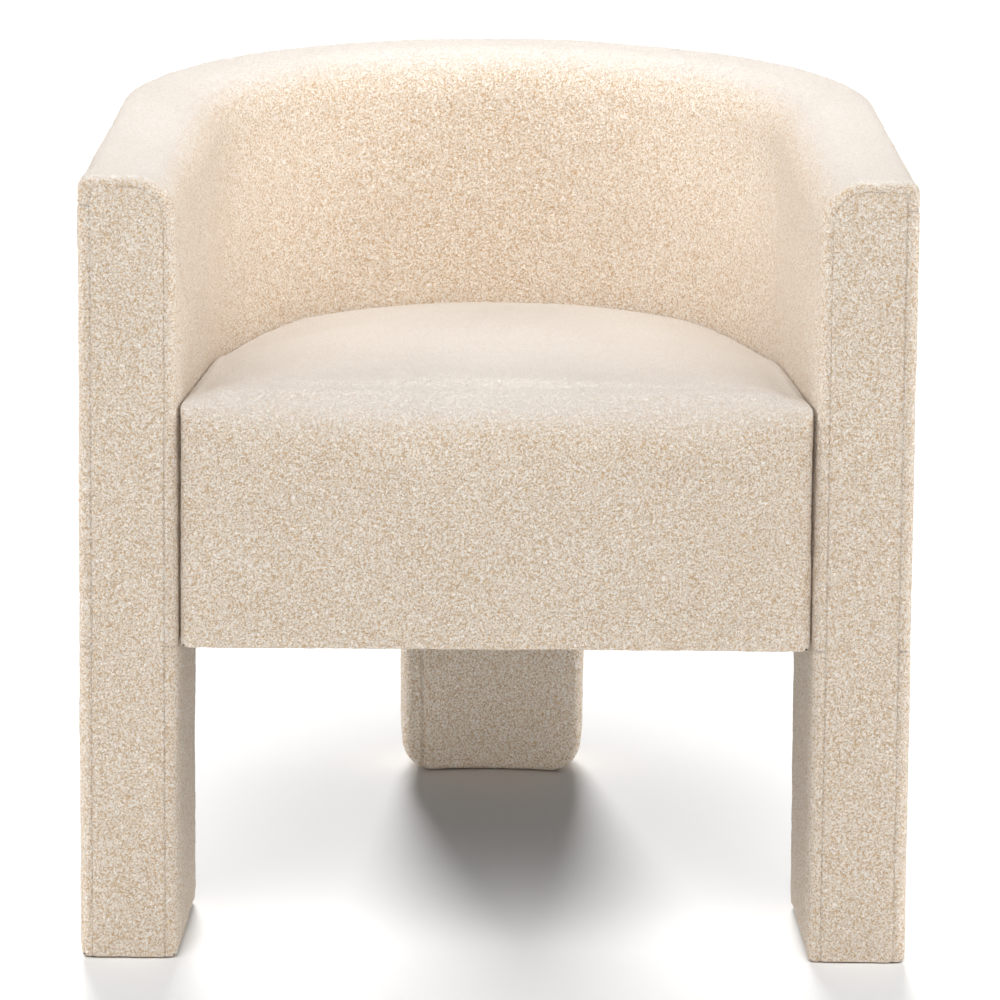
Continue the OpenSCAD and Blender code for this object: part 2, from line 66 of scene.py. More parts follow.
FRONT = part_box("left_arm_front_cover")[0].y
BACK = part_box("outside_cover")[1].y
FLOOR_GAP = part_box("left_leg_cover")[0].z
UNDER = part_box("outside_cover")[0].z
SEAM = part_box("outside_cover")[1].z
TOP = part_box("inside_cover")[1].z
LEG_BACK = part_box("left_leg_cover")[1].y
POST_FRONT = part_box("left_front_post")[0].y
R_IN = 253 * MM
R_OUT = 337 * MM
PAD_IN = 279.5 * MM  # inner face of the inside padding's boards
PAD_OUT = 325.5 * MM  # and of the outside padding's
ARC_Y = BACK - R_OUT
SPLAY = math.radians(2.8)
TOP_IN_R = 40 * MM
TOP_OUT_R = 13 * MM
CORNER = 8 * MM  # rounding of the arms' vertical front edges
FOOT_R = 4 * MM  # and of the front legs' lower edges
FOOT_POINTS = 5
BELLY = 1.5 * MM  # how far the rounded lower edges hang below the cloths that close them
SOLE = FLOOR_GAP - 2 * MM  # lowest point of the legs' covers
SEAM_DEPTH = 0.6 * MM
SEAM_WIDTH = 4.5 * MM  # from a seam to where its dip ends
TOP_SEAM_DEPTH = 1.3 * MM  # of the long seam between the inside and outside covers
SPLIT = 0.25 * MM  # gap between two panels that meet at a seam
HIDE = 0.3 * MM  # how far the front pads reach over the posts
PAD_LOW = FLOOR_GAP + 1.5 * MM  # lowest point of the pads' hidden faces
FLAP = 11 * MM  # from an arm's edge to the seam of its front panel
SEAT_R = 251 * MM
SEAT_FRONT_H = 494 * MM  # heights along the middle of the seat
SEAT_BACK_H = 451 * MM
SEAT_CAVITY_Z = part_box("seat_foam")[0].z
REAR_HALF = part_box("rear_leg_cover")[1].x
REAR_R = 30 * MM
REAR_SHIFT = np.array([-1.5 * MM, 0.0, 0.0])  # the rear leg's padding sits a little to the left

CORNER_RUN = 14 * MM * 0.8  # nominal length of half a seat corner, which sets its count of points
STEP = 3.3 * MM  # spacing of the points on a visible face
COARSE = 12 * MM  # spacing on the cages that are simulated


def smooth(x):
    x = np.clip(x, 0.0, 1.0)
    return x * x * (3 - 2 * x)


def noise(points, size, seed):
    """Smooth value noise from -1 to 1 at (n, 3) points, with lumps about size across."""
    q = points / size + seed * 17.31
    cell = np.floor(q)
    f = q - cell
    w = f * f * (3 - 2 * f)
    cell = cell.astype(np.int64)
    total = np.zeros(len(q))
    for corner in range(8):
        d = np.array([corner & 1, corner >> 1 & 1, corner >> 2 & 1])
        c = cell + d
        h = c[:, 0] * 73856093 ^ c[:, 1] * 19349663 ^ c[:, 2] * 83492791 ^ (seed * 2654435761)
        h = (h ^ (h >> 13)) * 1274126177 & 0xFFFFFFFF
        h = (h ^ (h >> 16)) & 0xFFFF
        total += h / 32767.5 * np.prod(np.where(d, w, 1 - w), axis=1)
    return total - 1.0


def nap(points):
    """How far the looped pile stands off the smooth face at each point."""
    return (
        0.30 * MM * noise(points, 5.2 * MM, 1)
        + 0.22 * MM * noise(points, 9 * MM, 2)
        + 0.25 * MM * noise(points, 26 * MM, 3)
        + 0.55 * MM * noise(points, 85 * MM, 4)
    )


# ---- plan and profile of the wall ----


def plan(u, r, ahead=0.0):
    """x, y on the horseshoe of radius r, moved ahead towards the front.

    u runs from -1, the right arm's front, through 0 to 1, the half round back, to 2, the left arm's front.
    """
    side = np.where(u < 0.5, 1.0, -1.0)
    along = np.clip(-u, 0, 1) + np.clip(u - 1, 0, 1)
    theta = SPLAY + (math.pi - 2 * SPLAY) * np.clip(u, 0, 1)
    x = r * np.cos(theta)
    y = ARC_Y + r * np.sin(theta)
    reach = along * (y - FRONT - CORNER) + ahead
    return x + side * reach * math.tan(SPLAY), y - reach


def spaced(length, step):
    return max(2, int(round(length / step)))


def stations(step):
    """The wall's stations from one front panel's seam to the other's.

    Returns u, inset and how far ahead, and the number of stations in each arm's rounded edge and flap.
    """
    arm = ARC_Y - FRONT
    u_arm = np.linspace(-1, 0, spaced(arm, step) + 1)
    u_back = np.linspace(0, 1, spaced(math.pi * 0.5 * (R_IN + R_OUT), step * 1.05) + 1)
    u = np.concatenate([u_arm, u_back[1:], 1 - u_arm[::-1][1:]])
    turn = np.linspace(0, math.pi / 2, max(3, spaced(CORNER * 1.57, step * 0.8)) + 1)[1:]
    flat = np.linspace(0, FLAP - CORNER, max(1, spaced(FLAP - CORNER, step * 0.8)) + 1)[1:]
    inset = np.concatenate([CORNER * (1 - np.cos(turn)), CORNER + flat])
    ahead = np.concatenate([CORNER * np.sin(turn), np.full(len(flat), CORNER)])
    n = len(inset)
    u = np.concatenate([np.full(n, -1.0), u, np.full(n, 2.0)])
    inset = np.concatenate([inset[::-1], np.zeros(len(u) - 2 * n), inset])
    ahead = np.concatenate([ahead[::-1], np.zeros(len(u) - 2 * n), ahead])
    return u, inset, ahead, n


def arc(cx, cz, r, a0, a1, n):
    a = np.linspace(a0, a1, n + 1)
    return np.stack([cx + r * np.cos(a), cz + r * np.sin(a)], -1)


def upright(r, z):
    return np.stack([np.full(len(z), r), z], -1)


def over_top(step):
    """A function of inset: the profile up the inside, over the rounded top and down to the outside seam."""
    n_up = spaced(TOP - TOP_IN_R - UNDER, step)
    n_in = spaced(TOP_IN_R * 1.57, step)
    n_top = spaced(R_OUT - R_IN - TOP_IN_R - TOP_OUT_R, step)
    n_out = spaced(TOP_OUT_R * 1.57, step)
    n_down = spaced(TOP - TOP_OUT_R - SEAM, step)

    def profile(e):
        r0, r1 = TOP_IN_R - e, TOP_OUT_R - e
        ci, co = R_IN + TOP_IN_R, R_OUT - TOP_OUT_R
        up = upright(R_IN + e, np.linspace(UNDER, TOP - TOP_IN_R, n_up + 1))
        round_in = arc(ci, TOP - TOP_IN_R, r0, math.pi, math.pi / 2, n_in)[1:]
        flat = np.stack([np.linspace(ci, co, n_top + 1), np.full(n_top + 1, TOP - e)], -1)[1:]
        round_out = arc(co, TOP - TOP_OUT_R, r1, math.pi / 2, 0, n_out)[1:]
        down = upright(R_OUT - e, np.linspace(TOP - TOP_OUT_R, SEAM, n_down + 1))[1:]
        return np.concatenate([up, round_in, flat, round_out, down])

    return profile


def every(n, gap):
    """Indices 0 to n - 1 about gap apart, both ends among them."""
    return [int(i) for i in np.linspace(0, n - 1, max(2, (n - 1) // gap + 1)).round()]


def grid_normals(p):
    du = np.gradient(p, axis=0)
    dv = np.gradient(p, axis=1)
    n = np.cross(du, dv)
    return n / np.maximum(np.linalg.norm(n, axis=2, keepdims=True), 1e-12)


def run_lengths(p, axis):
    """Distance along a grid's rows or columns from its first point, shaped like the grid."""
    d = np.linalg.norm(np.diff(p, axis=axis), axis=2)
    start = np.zeros_like(np.take(d, [0], axis=axis))
    return np.cumsum(np.concatenate([start, d], axis=axis), axis=axis)


def crease(distance, depth, width):
    """Inward pull of a seam at each distance from it."""
    return depth * (1 - smooth(distance / width)) ** 1.5


def edge_seams(across):
    """Pull of the seams along the first and the last row of a grid."""
    return crease(across, SEAM_DEPTH, SEAM_WIDTH) + crease(across[-1:] - across, SEAM_DEPTH, SEAM_WIDTH)


def mesh_object(name, verts, faces):
    me = bpy.data.meshes.new(name)
    me.from_pydata([tuple(v) for v in verts], [], [tuple(f) for f in faces])
    bm = bmesh.new()
    bm.from_mesh(me)
    bmesh.ops.recalc_face_normals(bm, faces=bm.faces)
    bm.to_mesh(me)
    bm.free()
    me.polygons.foreach_set("use_smooth", [True] * len(me.polygons))
    ob = bpy.data.objects.new(name, me)
    bpy.context.scene.collection.objects.link(ob)
    return ob


def coords(ob):
    co = np.zeros(len(ob.data.vertices) * 3)
    ob.data.vertices.foreach_get("co", co)
    return co.reshape(-1, 3)


def set_coords(ob, co):
    ob.data.vertices.foreach_set("co", co.astype(np.float32).ravel())
    ob.data.update()


# ---- cloth under pressure ----


def inflate(cage_verts, cage_faces, held, cap, pressure, stiffness=12.0, frames=20):
    """Displacement of each point of a cage whose free points swell as cloth under pressure, capped."""
    ob = mesh_object("cage", cage_verts, cage_faces)
    start = coords(ob)
    group = ob.vertex_groups.new(name="held")
    group.add([int(i) for i in np.flatnonzero(held)], 1.0, "REPLACE")
    mod = ob.modifiers.new("cloth", "CLOTH")
    s = mod.settings
    s.quality = 6
    s.mass = 0.25
    s.tension_stiffness = s.compression_stiffness = stiffness
    s.shear_stiffness = stiffness * 0.6
    s.bending_stiffness = 0.6
    s.air_damping = 2.0
    s.vertex_group_mass = "held"
    s.use_pressure = True
    s.uniform_pressure_force = pressure
    s.effector_weights.gravity = 0.0
    mod.point_cache.frame_start = 1
    mod.point_cache.frame_end = frames
    for f in range(1, frames + 1):
        bpy.context.scene.frame_set(f)
    done = ob.evaluated_get(bpy.context.evaluated_depsgraph_get())
    moved = np.zeros(len(start) * 3)
    done.data.vertices.foreach_get("co", moved)
    move = moved.reshape(-1, 3) - start
    size = np.linalg.norm(move, axis=1, keepdims=True)
    move *= np.where(size > 1e-9, cap * np.tanh(size / cap) / np.maximum(size, 1e-9), 0.0)
    bpy.context.scene.frame_set(1)
    bpy.data.objects.remove(ob)
    return move


def carried(points, cage_points, move, near=6):
    """The cage's displacement, blended smoothly to other points."""
    tree = KDTree(len(cage_points))
    for i, p in enumerate(cage_points):
        tree.insert(p, i)
    tree.balance()
    out = np.zeros_like(points)
    for k, p in enumerate(points):
        found = tree.find_n(p, near)
        reach = found[-1][2] * 1.02 + 1e-9
        w = np.array([(1 - (d / reach) ** 2) ** 2 for _, _, d in found])
        out[k] = (w[:, None] * move[[i for _, i, _ in found]]).sum(0) / max(w.sum(), 1e-12)
    return out


# ---- a padded panel: a fine outer face and a coarse inner face ----


def panel_faces(nu, nv, su, sv):
    """Faces of a closed panel: the outer grid, the inner grid, and the strips between their four edges."""
    def outer(i, j):
        return i * nv + j

    def inner(a, b):
        return nu * nv + a * len(sv) + b

    faces = []
    for i in range(nu - 1):
        for j in range(nv - 1):
            faces.append((outer(i, j), outer(i + 1, j), outer(i + 1, j + 1), outer(i, j + 1)))
    for a in range(len(su) - 1):
        for b in range(len(sv) - 1):
            faces.append((inner(a, b), inner(a, b + 1), inner(a + 1, b + 1), inner(a + 1, b)))
    for j, b in ((0, 0), (nv - 1, len(sv) - 1)):
        for a in range(len(su) - 1):
            faces.append([outer(i, j) for i in range(su[a], su[a + 1] + 1)] + [inner(a + 1, b), inner(a, b)])
    for i, a in ((0, 0), (nu - 1, len(su) - 1)):
        for b in range(len(sv) - 1):
            faces.append([outer(i, j) for j in range(sv[b], sv[b + 1] + 1)] + [inner(a, b + 1), inner(a, b)])
    return faces


def panel(name, build, cap=2.0 * MM, pressure=3.0, gap=4):
    """Makes a panel whose puff comes from a coarse cage.

    build(step) gives the outer points (nu, nv, 3), a function of (i, j) for the inner points, and the
    seams' pull (nu, nv).
    """
    outer, inner, pull = build(STEP)
    nu, nv = outer.shape[:2]
    flat = outer.reshape(-1, 3)
    su, sv = every(nu, gap), every(nv, gap)
    back = np.array([inner(i, j) for i in su for j in sv])
    normal = grid_normals(outer)
    out = outer[np.ix_(su, sv)].reshape(-1, 3) - back
    normal = normal.reshape(-1, 3) * np.sign((out * normal[np.ix_(su, sv)].reshape(-1, 3)).sum())
    c_outer, c_inner, _ = build(COARSE)
    cu, cv = c_outer.shape[:2]
    c_in = np.array([[c_inner(i, j) for j in range(cv)] for i in range(cu)])
    edge = np.ones((cu, cv), bool)
    edge[1:-1, 1:-1] = False
    held = np.concatenate([edge.ravel(), np.ones(cu * cv, bool)])
    cage = np.concatenate([c_outer.reshape(-1, 3), c_in.reshape(-1, 3)])
    move = inflate(cage, panel_faces(cu, cv, range(cu), range(cv)), held, cap, pressure)[: cu * cv]
    flat = flat + carried(flat, c_outer.reshape(-1, 3), move)
    flat = flat + normal * (nap(flat) - pull.ravel())[:, None]
    flat[:, 2] = np.maximum(flat[:, 2], 0.4 * MM)
    return mesh_object(name, np.concatenate([flat, back]), panel_faces(nu, nv, su, sv))


# ---- the wall's padding ----


def hidden_wall(i, n, last, u, start, end):
    """Point i of a wall panel's inner face: start (r, z) along the wall and end (r, z) at the flap's seam.

    The flap's n points are blended between the two. All of it lies behind the posts' front.
    """
    edge = min(i, last - i)
    share = max(0.0, (n - edge) / n) if edge < n else 0.0
    r = start[0] + (end[0] - start[0]) * share
    z = start[1] + (end[1] - start[1]) * share
    x, y = plan(u[i], r)
    back = max(0.0, POST_FRONT - y)
    side = 1.0 if u[i] < 0.5 else -1.0
    return (float(x) - side * back * math.tan(SPLAY), float(y) + back, z)


def inside_build(step):
    u, inset, ahead, n = stations(step)
    profile = over_top(step)
    rows = [profile(e) for e in inset]
    outer = np.stack([
        np.stack([*plan(np.full(len(rz), a), rz[:, 0], b), rz[:, 1]], -1)
        for a, b, rz in zip(u, ahead, rows)
    ])
    base, flap = profile(0.0), profile(FLAP)
    n_up = spaced(TOP - TOP_IN_R - UNDER, step)
    last_v, last_u = len(base) - 1, len(u) - 1

    def inner(i, j):
        if j <= n_up:
            start = (PAD_IN, UNDER + (SEAM - UNDER) * j / n_up)
        else:
            start = (PAD_IN + (PAD_OUT - PAD_IN) * (j - n_up) / (last_v - n_up), SEAM)
        return hidden_wall(i, n, last_u, u, start, flap[j])

    across = run_lengths(outer, 0)
    pull = edge_seams(across)
    along = run_lengths(outer, 1)
    pull += crease(along[:, -1:] - along, TOP_SEAM_DEPTH, SEAM_WIDTH)
    theta = np.degrees(np.arctan2(outer[..., 1] - ARC_Y, np.abs(outer[..., 0])))
    seam = 44.6 - 21.5 * (np.minimum(outer[..., 2], 0.66) - 0.49)
    radius = np.hypot(outer[..., 0], outer[..., 1] - ARC_Y)
    pull += crease(np.abs(np.radians(theta - seam)) * radius, 1.1 * MM, 4 * MM)
    return outer, inner, pull


def leg_below(x, y):
    """1 where a leg stands under the shell's outer face, 0 clear of them."""
    front = 1 - smooth((y - LEG_BACK) / (10 * MM))
    rear = (1 - smooth((np.abs(x) - REAR_HALF) / (10 * MM))) * (y > 0)
    return np.maximum(front, rear)


def outside_build(step):
    u, inset, ahead, n = stations(step)
    n_down = spaced(SEAM - UNDER, step)
    n_round = max(4, spaced(CORNER * 1.57, step))
    n_lip = 2
    rows = []
    for a, b, e in zip(u, ahead, inset):
        x, y = plan(a, R_OUT, b)
        clear = 1 - float(leg_below(x, y))
        rho = min(0.5 * MM + 5.5 * MM * clear, R_OUT - e - PAD_OUT - 0.2 * MM)
        low = UNDER - BELLY * clear
        face = upright(R_OUT - e, np.linspace(SEAM - SPLIT, low + rho, n_down + 1))
        under = arc(R_OUT - e - rho, low + rho, rho, 0, -math.pi / 2, n_round)[1:]
        lip = np.linspace(R_OUT - e - rho, PAD_OUT + 0.1 * MM, n_lip + 1)[1:]
        lip = np.stack([lip, np.full(n_lip, low)], -1)
        rz = np.concatenate([face, under, lip])
        rows.append(np.stack([*plan(np.full(len(rz), a), rz[:, 0], b), rz[:, 1]], -1))
    outer = np.stack(rows)
    last_v, last_u = outer.shape[1] - 1, len(u) - 1

    def inner(i, j):
        z = SEAM - SPLIT - (SEAM - SPLIT - UNDER - 0.2 * MM) * min(1.0, j / (last_v - n_lip))
        start = (PAD_OUT + 0.05 * MM * max(0, j - last_v + n_lip), z)
        return hidden_wall(i, n, last_u, u, start, (R_OUT - FLAP, z))

    across = run_lengths(outer, 0)
    pull = edge_seams(across)
    pull += crease(run_lengths(outer, 1), TOP_SEAM_DEPTH, SEAM_WIDTH)
    return outer, inner, pull


# ---- the arms' front panels and the legs ----


def arm_x(r, y):
    return (r + (ARC_Y - y) * math.sin(SPLAY)) / math.cos(SPLAY)


def front_build(side):
    def build(step):
        step = step * 0.8
        lo, hi, top = R_IN + FLAP, R_OUT - FLAP, TOP - FLAP
        r_in, r_out = TOP_IN_R - FLAP, TOP_OUT_R - FLAP
        turn = np.linspace(0, math.pi / 2, FOOT_POINTS)[:-1]
        straight = np.linspace(SOLE + FOOT_R, top - r_in, spaced(top - r_in, step) + 1)
        rise = np.linspace(0, math.pi / 2, spaced(r_in * 1.57, step) + 1)[1:]
        z = np.concatenate([SOLE + FOOT_R * (1 - np.cos(turn)), straight, top - r_in + r_in * np.sin(rise)])
        foot = FRONT + FOOT_R * (1 - np.sin(turn))
        y = np.concatenate([foot, np.full(len(straight) + len(rise), FRONT)])
        left = lo + r_in - np.sqrt(np.maximum(r_in**2 - np.maximum(z - (top - r_in), 0) ** 2, 0))
        right = hi - r_out + np.sqrt(np.maximum(r_out**2 - np.maximum(z - (top - r_out), 0) ** 2, 0))
        s = np.linspace(0, 1, spaced(hi - lo, step) + 1)[:, None]
        r = left + (right - left) * s
        outer = np.stack([side * arm_x(r, y), np.broadcast_to(y, r.shape), np.broadcast_to(z, r.shape)], -1)

        def inner(i, j):
            x = side * float(arm_x(r[i, j], POST_FRONT))
            return (x, POST_FRONT - HIDE, max(float(z[j]), PAD_LOW))

        across, along = run_lengths(outer, 0), run_lengths(outer, 1)
        pull = edge_seams(across)
        pull = np.maximum(pull, crease(along[:, -1:] - along, SEAM_DEPTH, SEAM_WIDTH))
        return outer, inner, pull

    return build


def leg_path(step, e):
    """(r, y) round a front leg at inset e, from its inner front seam to its outer one, and each run's end."""
    c = CORNER - e
    fi, fo = R_IN + CORNER, R_OUT - CORNER
    yf, yb = FRONT + CORNER, LEG_BACK - CORNER
    n_c = max(4, spaced(CORNER * 1.57, step))
    n_f = max(1, spaced(FLAP - CORNER, step))
    n_s, n_b = spaced(yb - yf, step), spaced(fo - fi, step)

    def line(a, b, n):
        return np.linspace(a, b, n + 1)[1:]

    def turn(r, y, a0, a1):
        a = np.linspace(a0, a1, n_c + 1)[1:]
        return np.stack([r + c * np.cos(a), y + c * np.sin(a)], -1)

    pi = math.pi
    runs = [
        np.linspace([R_IN + FLAP, FRONT + e], [fi, FRONT + e], n_f + 1),
        turn(fi, yf, -pi / 2, -pi),
        line([R_IN + e, yf], [R_IN + e, yb], n_s),
        turn(fi, yb, pi, pi / 2),
        line([fi, LEG_BACK - e], [fo, LEG_BACK - e], n_b),
        turn(fo, yb, pi / 2, 0),
        line([R_OUT - e, yb], [R_OUT - e, yf], n_s),
        turn(fo, yf, 0, -pi / 2),
        line([fo, FRONT + e], [R_OUT - FLAP, FRONT + e], n_f),
    ]
    ends = np.cumsum([len(run) for run in runs]) - 1
    return np.concatenate(runs), ends


def leg_build(side):
    def build(step):
        turn = np.linspace(0, math.pi / 2, FOOT_POINTS)[1:]
        z = np.linspace(UNDER - SPLIT, SOLE + FOOT_R, spaced(UNDER - SOLE, step) + 1)
        e = np.concatenate([np.zeros(len(z)), FOOT_R * (1 - np.cos(turn))])
        z = np.concatenate([z, SOLE + FOOT_R * (1 - np.sin(turn))])
        paths = [leg_path(step, a)[0] for a in e]
        ends = leg_path(step, 0.0)[1]
        ry = np.stack(paths, 1)
        x = side * arm_x(ry[..., 0], ry[..., 1])
        outer = np.stack([x, ry[..., 1], np.broadcast_to(z, ry.shape[:2])], -1)
        yb = LEG_BACK - 11.5 * MM
        stops = [
            (0, (R_IN + FLAP, POST_FRONT - HIDE)),
            (ends[1], (PAD_IN, POST_FRONT)),
            (ends[2], (PAD_IN, yb)),
            (ends[5], (PAD_OUT, yb)),
            (ends[6], (PAD_OUT, POST_FRONT)),
            (ends[8], (R_OUT - FLAP, POST_FRONT - HIDE)),
        ]
        at = [s[0] for s in stops]
        last = len(z) - 1

        def inner(i, j):
            r = float(np.interp(i, at, [s[1][0] for s in stops]))
            y = float(np.interp(i, at, [s[1][1] for s in stops]))
            return (side * float(arm_x(r, y)), y, UNDER - SPLIT + (PAD_LOW - UNDER + SPLIT) * j / last)

        across = run_lengths(outer, 0)
        pull = edge_seams(across)
        return outer, inner, pull

    return build


# ---- closed rings: the rear leg and the seat ----


def ring_faces(count, size, first=0):
    faces = []
    for k in range(count - 1):
        a, b = first + k * size, first + (k + 1) * size
        for i in range(size):
            j = (i + 1) % size
            faces.append((a + i, a + j, b + j, b + i))
    return faces


def rear_ring(step, half, lo, hi, c, z):
    """A rounded rectangle between two radii and two sides, laid on the back's curve at height z."""
    n_x, n_r = spaced(2 * REAR_HALF, step), spaced(R_OUT - R_IN, step)
    n_c = max(3, spaced(14 * MM, step))

    def turn(x, r, a0):
        a = np.linspace(a0, a0 + math.pi / 2, n_c + 1)[1:]
        return np.stack([x + c * np.cos(a), r + c * np.sin(a)], -1)

    pi = math.pi
    xr = np.concatenate([
        np.linspace([-half + c, lo], [half - c, lo], n_x + 1),
        turn(half - c, lo + c, -pi / 2),
        np.linspace([half, lo + c], [half, hi - c], n_r + 1)[1:],
        turn(half - c, hi - c, 0),
        np.linspace([half - c, hi], [-half + c, hi], n_x + 1)[1:],
        turn(-half + c, hi - c, pi / 2),
        np.linspace([-half, hi - c], [-half, lo + c], n_r + 1)[1:],
        turn(-half + c, lo + c, pi)[:-1],
    ])
    y = ARC_Y + np.sqrt(xr[:, 1] ** 2 - xr[:, 0] ** 2)
    return np.stack([xr[:, 0], y, np.full(len(xr), z)], -1)


def rear_levels(step):
    """(half width, edge inset, height) of each ring of the rear leg, from its top down."""
    straight = np.linspace(UNDER - SPLIT, SOLE + REAR_R, spaced(UNDER - REAR_R, step) + 1)
    a = np.linspace(0, math.pi / 2, spaced(REAR_R * 1.57, step) + 1)[1:]
    z = np.concatenate([straight, SOLE + REAR_R * (1 - np.sin(a))])
    half = REAR_HALF - 0.010 * (UNDER - z)
    half[len(straight) :] -= REAR_R * (1 - np.cos(a))
    low = np.clip(SOLE + CORNER - z, 0, CORNER)
    return half, CORNER - np.sqrt(CORNER**2 - low**2), z


def rear_rings(step):
    half, e, z = rear_levels(step)
    outer = [
        rear_ring(step, h, R_IN + a, R_OUT - a, 9.5 * MM - a, b) + REAR_SHIFT for h, a, b in zip(half, e, z)
    ]
    wall = 11.75 * MM
    picks = every(len(z), 12)[::-1]
    cavity = [
        rear_ring(step, half[k] - wall, PAD_IN, PAD_OUT, 2 * MM, max(z[k], PAD_LOW))
        for k in picks
    ]
    return outer, cavity


def rear_mesh(step):
    """Points and faces of the closed rear leg, its points in a ring and its count of outer rings."""
    outer, cavity = rear_rings(step)
    size, rings = len(outer[0]), len(outer) + len(cavity)
    last = (rings - 1) * size
    faces = ring_faces(rings, size)
    faces += [(last + i, last + (i + 1) % size, (i + 1) % size, i) for i in range(size)]
    return np.concatenate(outer + cavity), faces, size, len(outer)


def rear_leg(name):
    verts, faces, size, rings = rear_mesh(STEP * 0.85)
    ob = mesh_object(name, verts, faces)
    co = coords(ob)
    skin = np.arange(len(co)) < rings * size
    cage, faces, size, rings = rear_mesh(COARSE)
    held = np.ones(len(cage), bool)
    held[size : (rings - 2) * size] = False
    shell = rings * size
    move = inflate(cage, faces, held, 1.5 * MM, 3.0)[:shell]
    co[skin] += carried(co[skin], cage[:shell], move)
    set_coords(ob, co)
    normal = np.array([v.normal for v in ob.data.vertices])
    front = np.hypot(co[:, 0], co[:, 1] - ARC_Y) < R_IN + 4 * MM
    slant = co[:, 0] - 0.008 * (UNDER - co[:, 2])
    edge = REAR_SHIFT[0] - REAR_HALF
    pull = crease(np.abs(slant - (edge + 21 * MM)), 3.2 * MM, SEAM_WIDTH)
    pull += crease(np.abs(slant - (edge + 13 * MM)), 1.3 * MM, 4 * MM)
    co[skin] += (normal * (nap(co) - np.where(front, pull, 0.0))[:, None])[skin]
    set_coords(ob, co)
    return ob


def seat_outline(step, radius, y_front, c):
    """The seat's plan as a loop, and its counts along the front and along a side.

    It runs from the middle of the left front corner along the front, up the right side, round the back
    and down the left side.
    """
    n_half = max(2, spaced(CORNER_RUN, step))
    n_front = spaced(0.5, step)
    n_side = spaced(0.36, step)
    n_quarter = spaced(0.19, step)
    xc = arm_x(radius - c, y_front + c)
    yc = y_front + c
    mid = (-math.pi / 2 + SPLAY) / 2

    def turn(a0, a1, n):
        a = np.linspace(a0, a1, n + 1)[1:]
        return np.stack([xc + c * np.cos(a), yc + c * np.sin(a)], -1)

    side_end = np.array([xc + c * math.cos(SPLAY), yc + c * math.sin(SPLAY)])
    tangent = np.array([radius * math.cos(SPLAY), ARC_Y + radius * math.sin(SPLAY)])
    a = np.linspace(SPLAY, math.pi / 4, n_quarter + 1)[1:]
    right = np.concatenate([
        turn(mid, SPLAY, n_half),
        np.linspace(side_end, tangent, n_side + 1)[1:],
        np.stack([radius * np.cos(a), ARC_Y + radius * np.sin(a)], -1),
    ])
    front_right = np.concatenate([
        np.linspace([0, y_front], [xc, y_front], n_front // 2 + 1),
        turn(-math.pi / 2, mid, n_half),
    ])
    flip = np.array([-1.0, 1.0])
    front = np.concatenate([front_right[::-1][:-1] * flip, front_right])
    across = len(front) - 1
    b = np.linspace(math.pi / 4, 3 * math.pi / 4, across + 1)[1:]
    back = np.stack([radius * np.cos(b), ARC_Y + radius * np.sin(b)], -1)
    left = np.concatenate([[front[-1]], right])[::-1][1:] * flip
    loop = np.concatenate([front, right, back, left[:-1]])
    return loop, across, len(right)


def seat_top(p):
    """Height of the seat's crowned top over a plan point: it falls away to the back and to each side."""
    x, y = p[..., 0], p[..., 1]
    slope = (SEAT_BACK_H - SEAT_FRONT_H) / (ARC_Y + SEAT_R - FRONT)
    middle = SEAT_FRONT_H + slope * (y - FRONT)
    forward = np.clip((0.04 - y) / 0.39, 0, 1)
    edge = 448 * MM + 48 * MM * forward**0.85 + 3 * MM * smooth((y - 0.12) / 0.14)
    edge = edge - 6.5 * MM * np.exp(-(((y - 0.09) / 0.06) ** 2))  # the back corners are drawn down
    share = np.clip(np.hypot(x, np.maximum(y - ARC_Y, 0)) / SEAT_R, 0, 1) ** 3
    crown = 6 * MM * np.clip(1 - (x / 0.26) ** 2, 0, 1) * np.clip(1 - ((y + 0.04) / 0.31) ** 2, 0, 1)
    return middle + (edge - middle) * share + crown


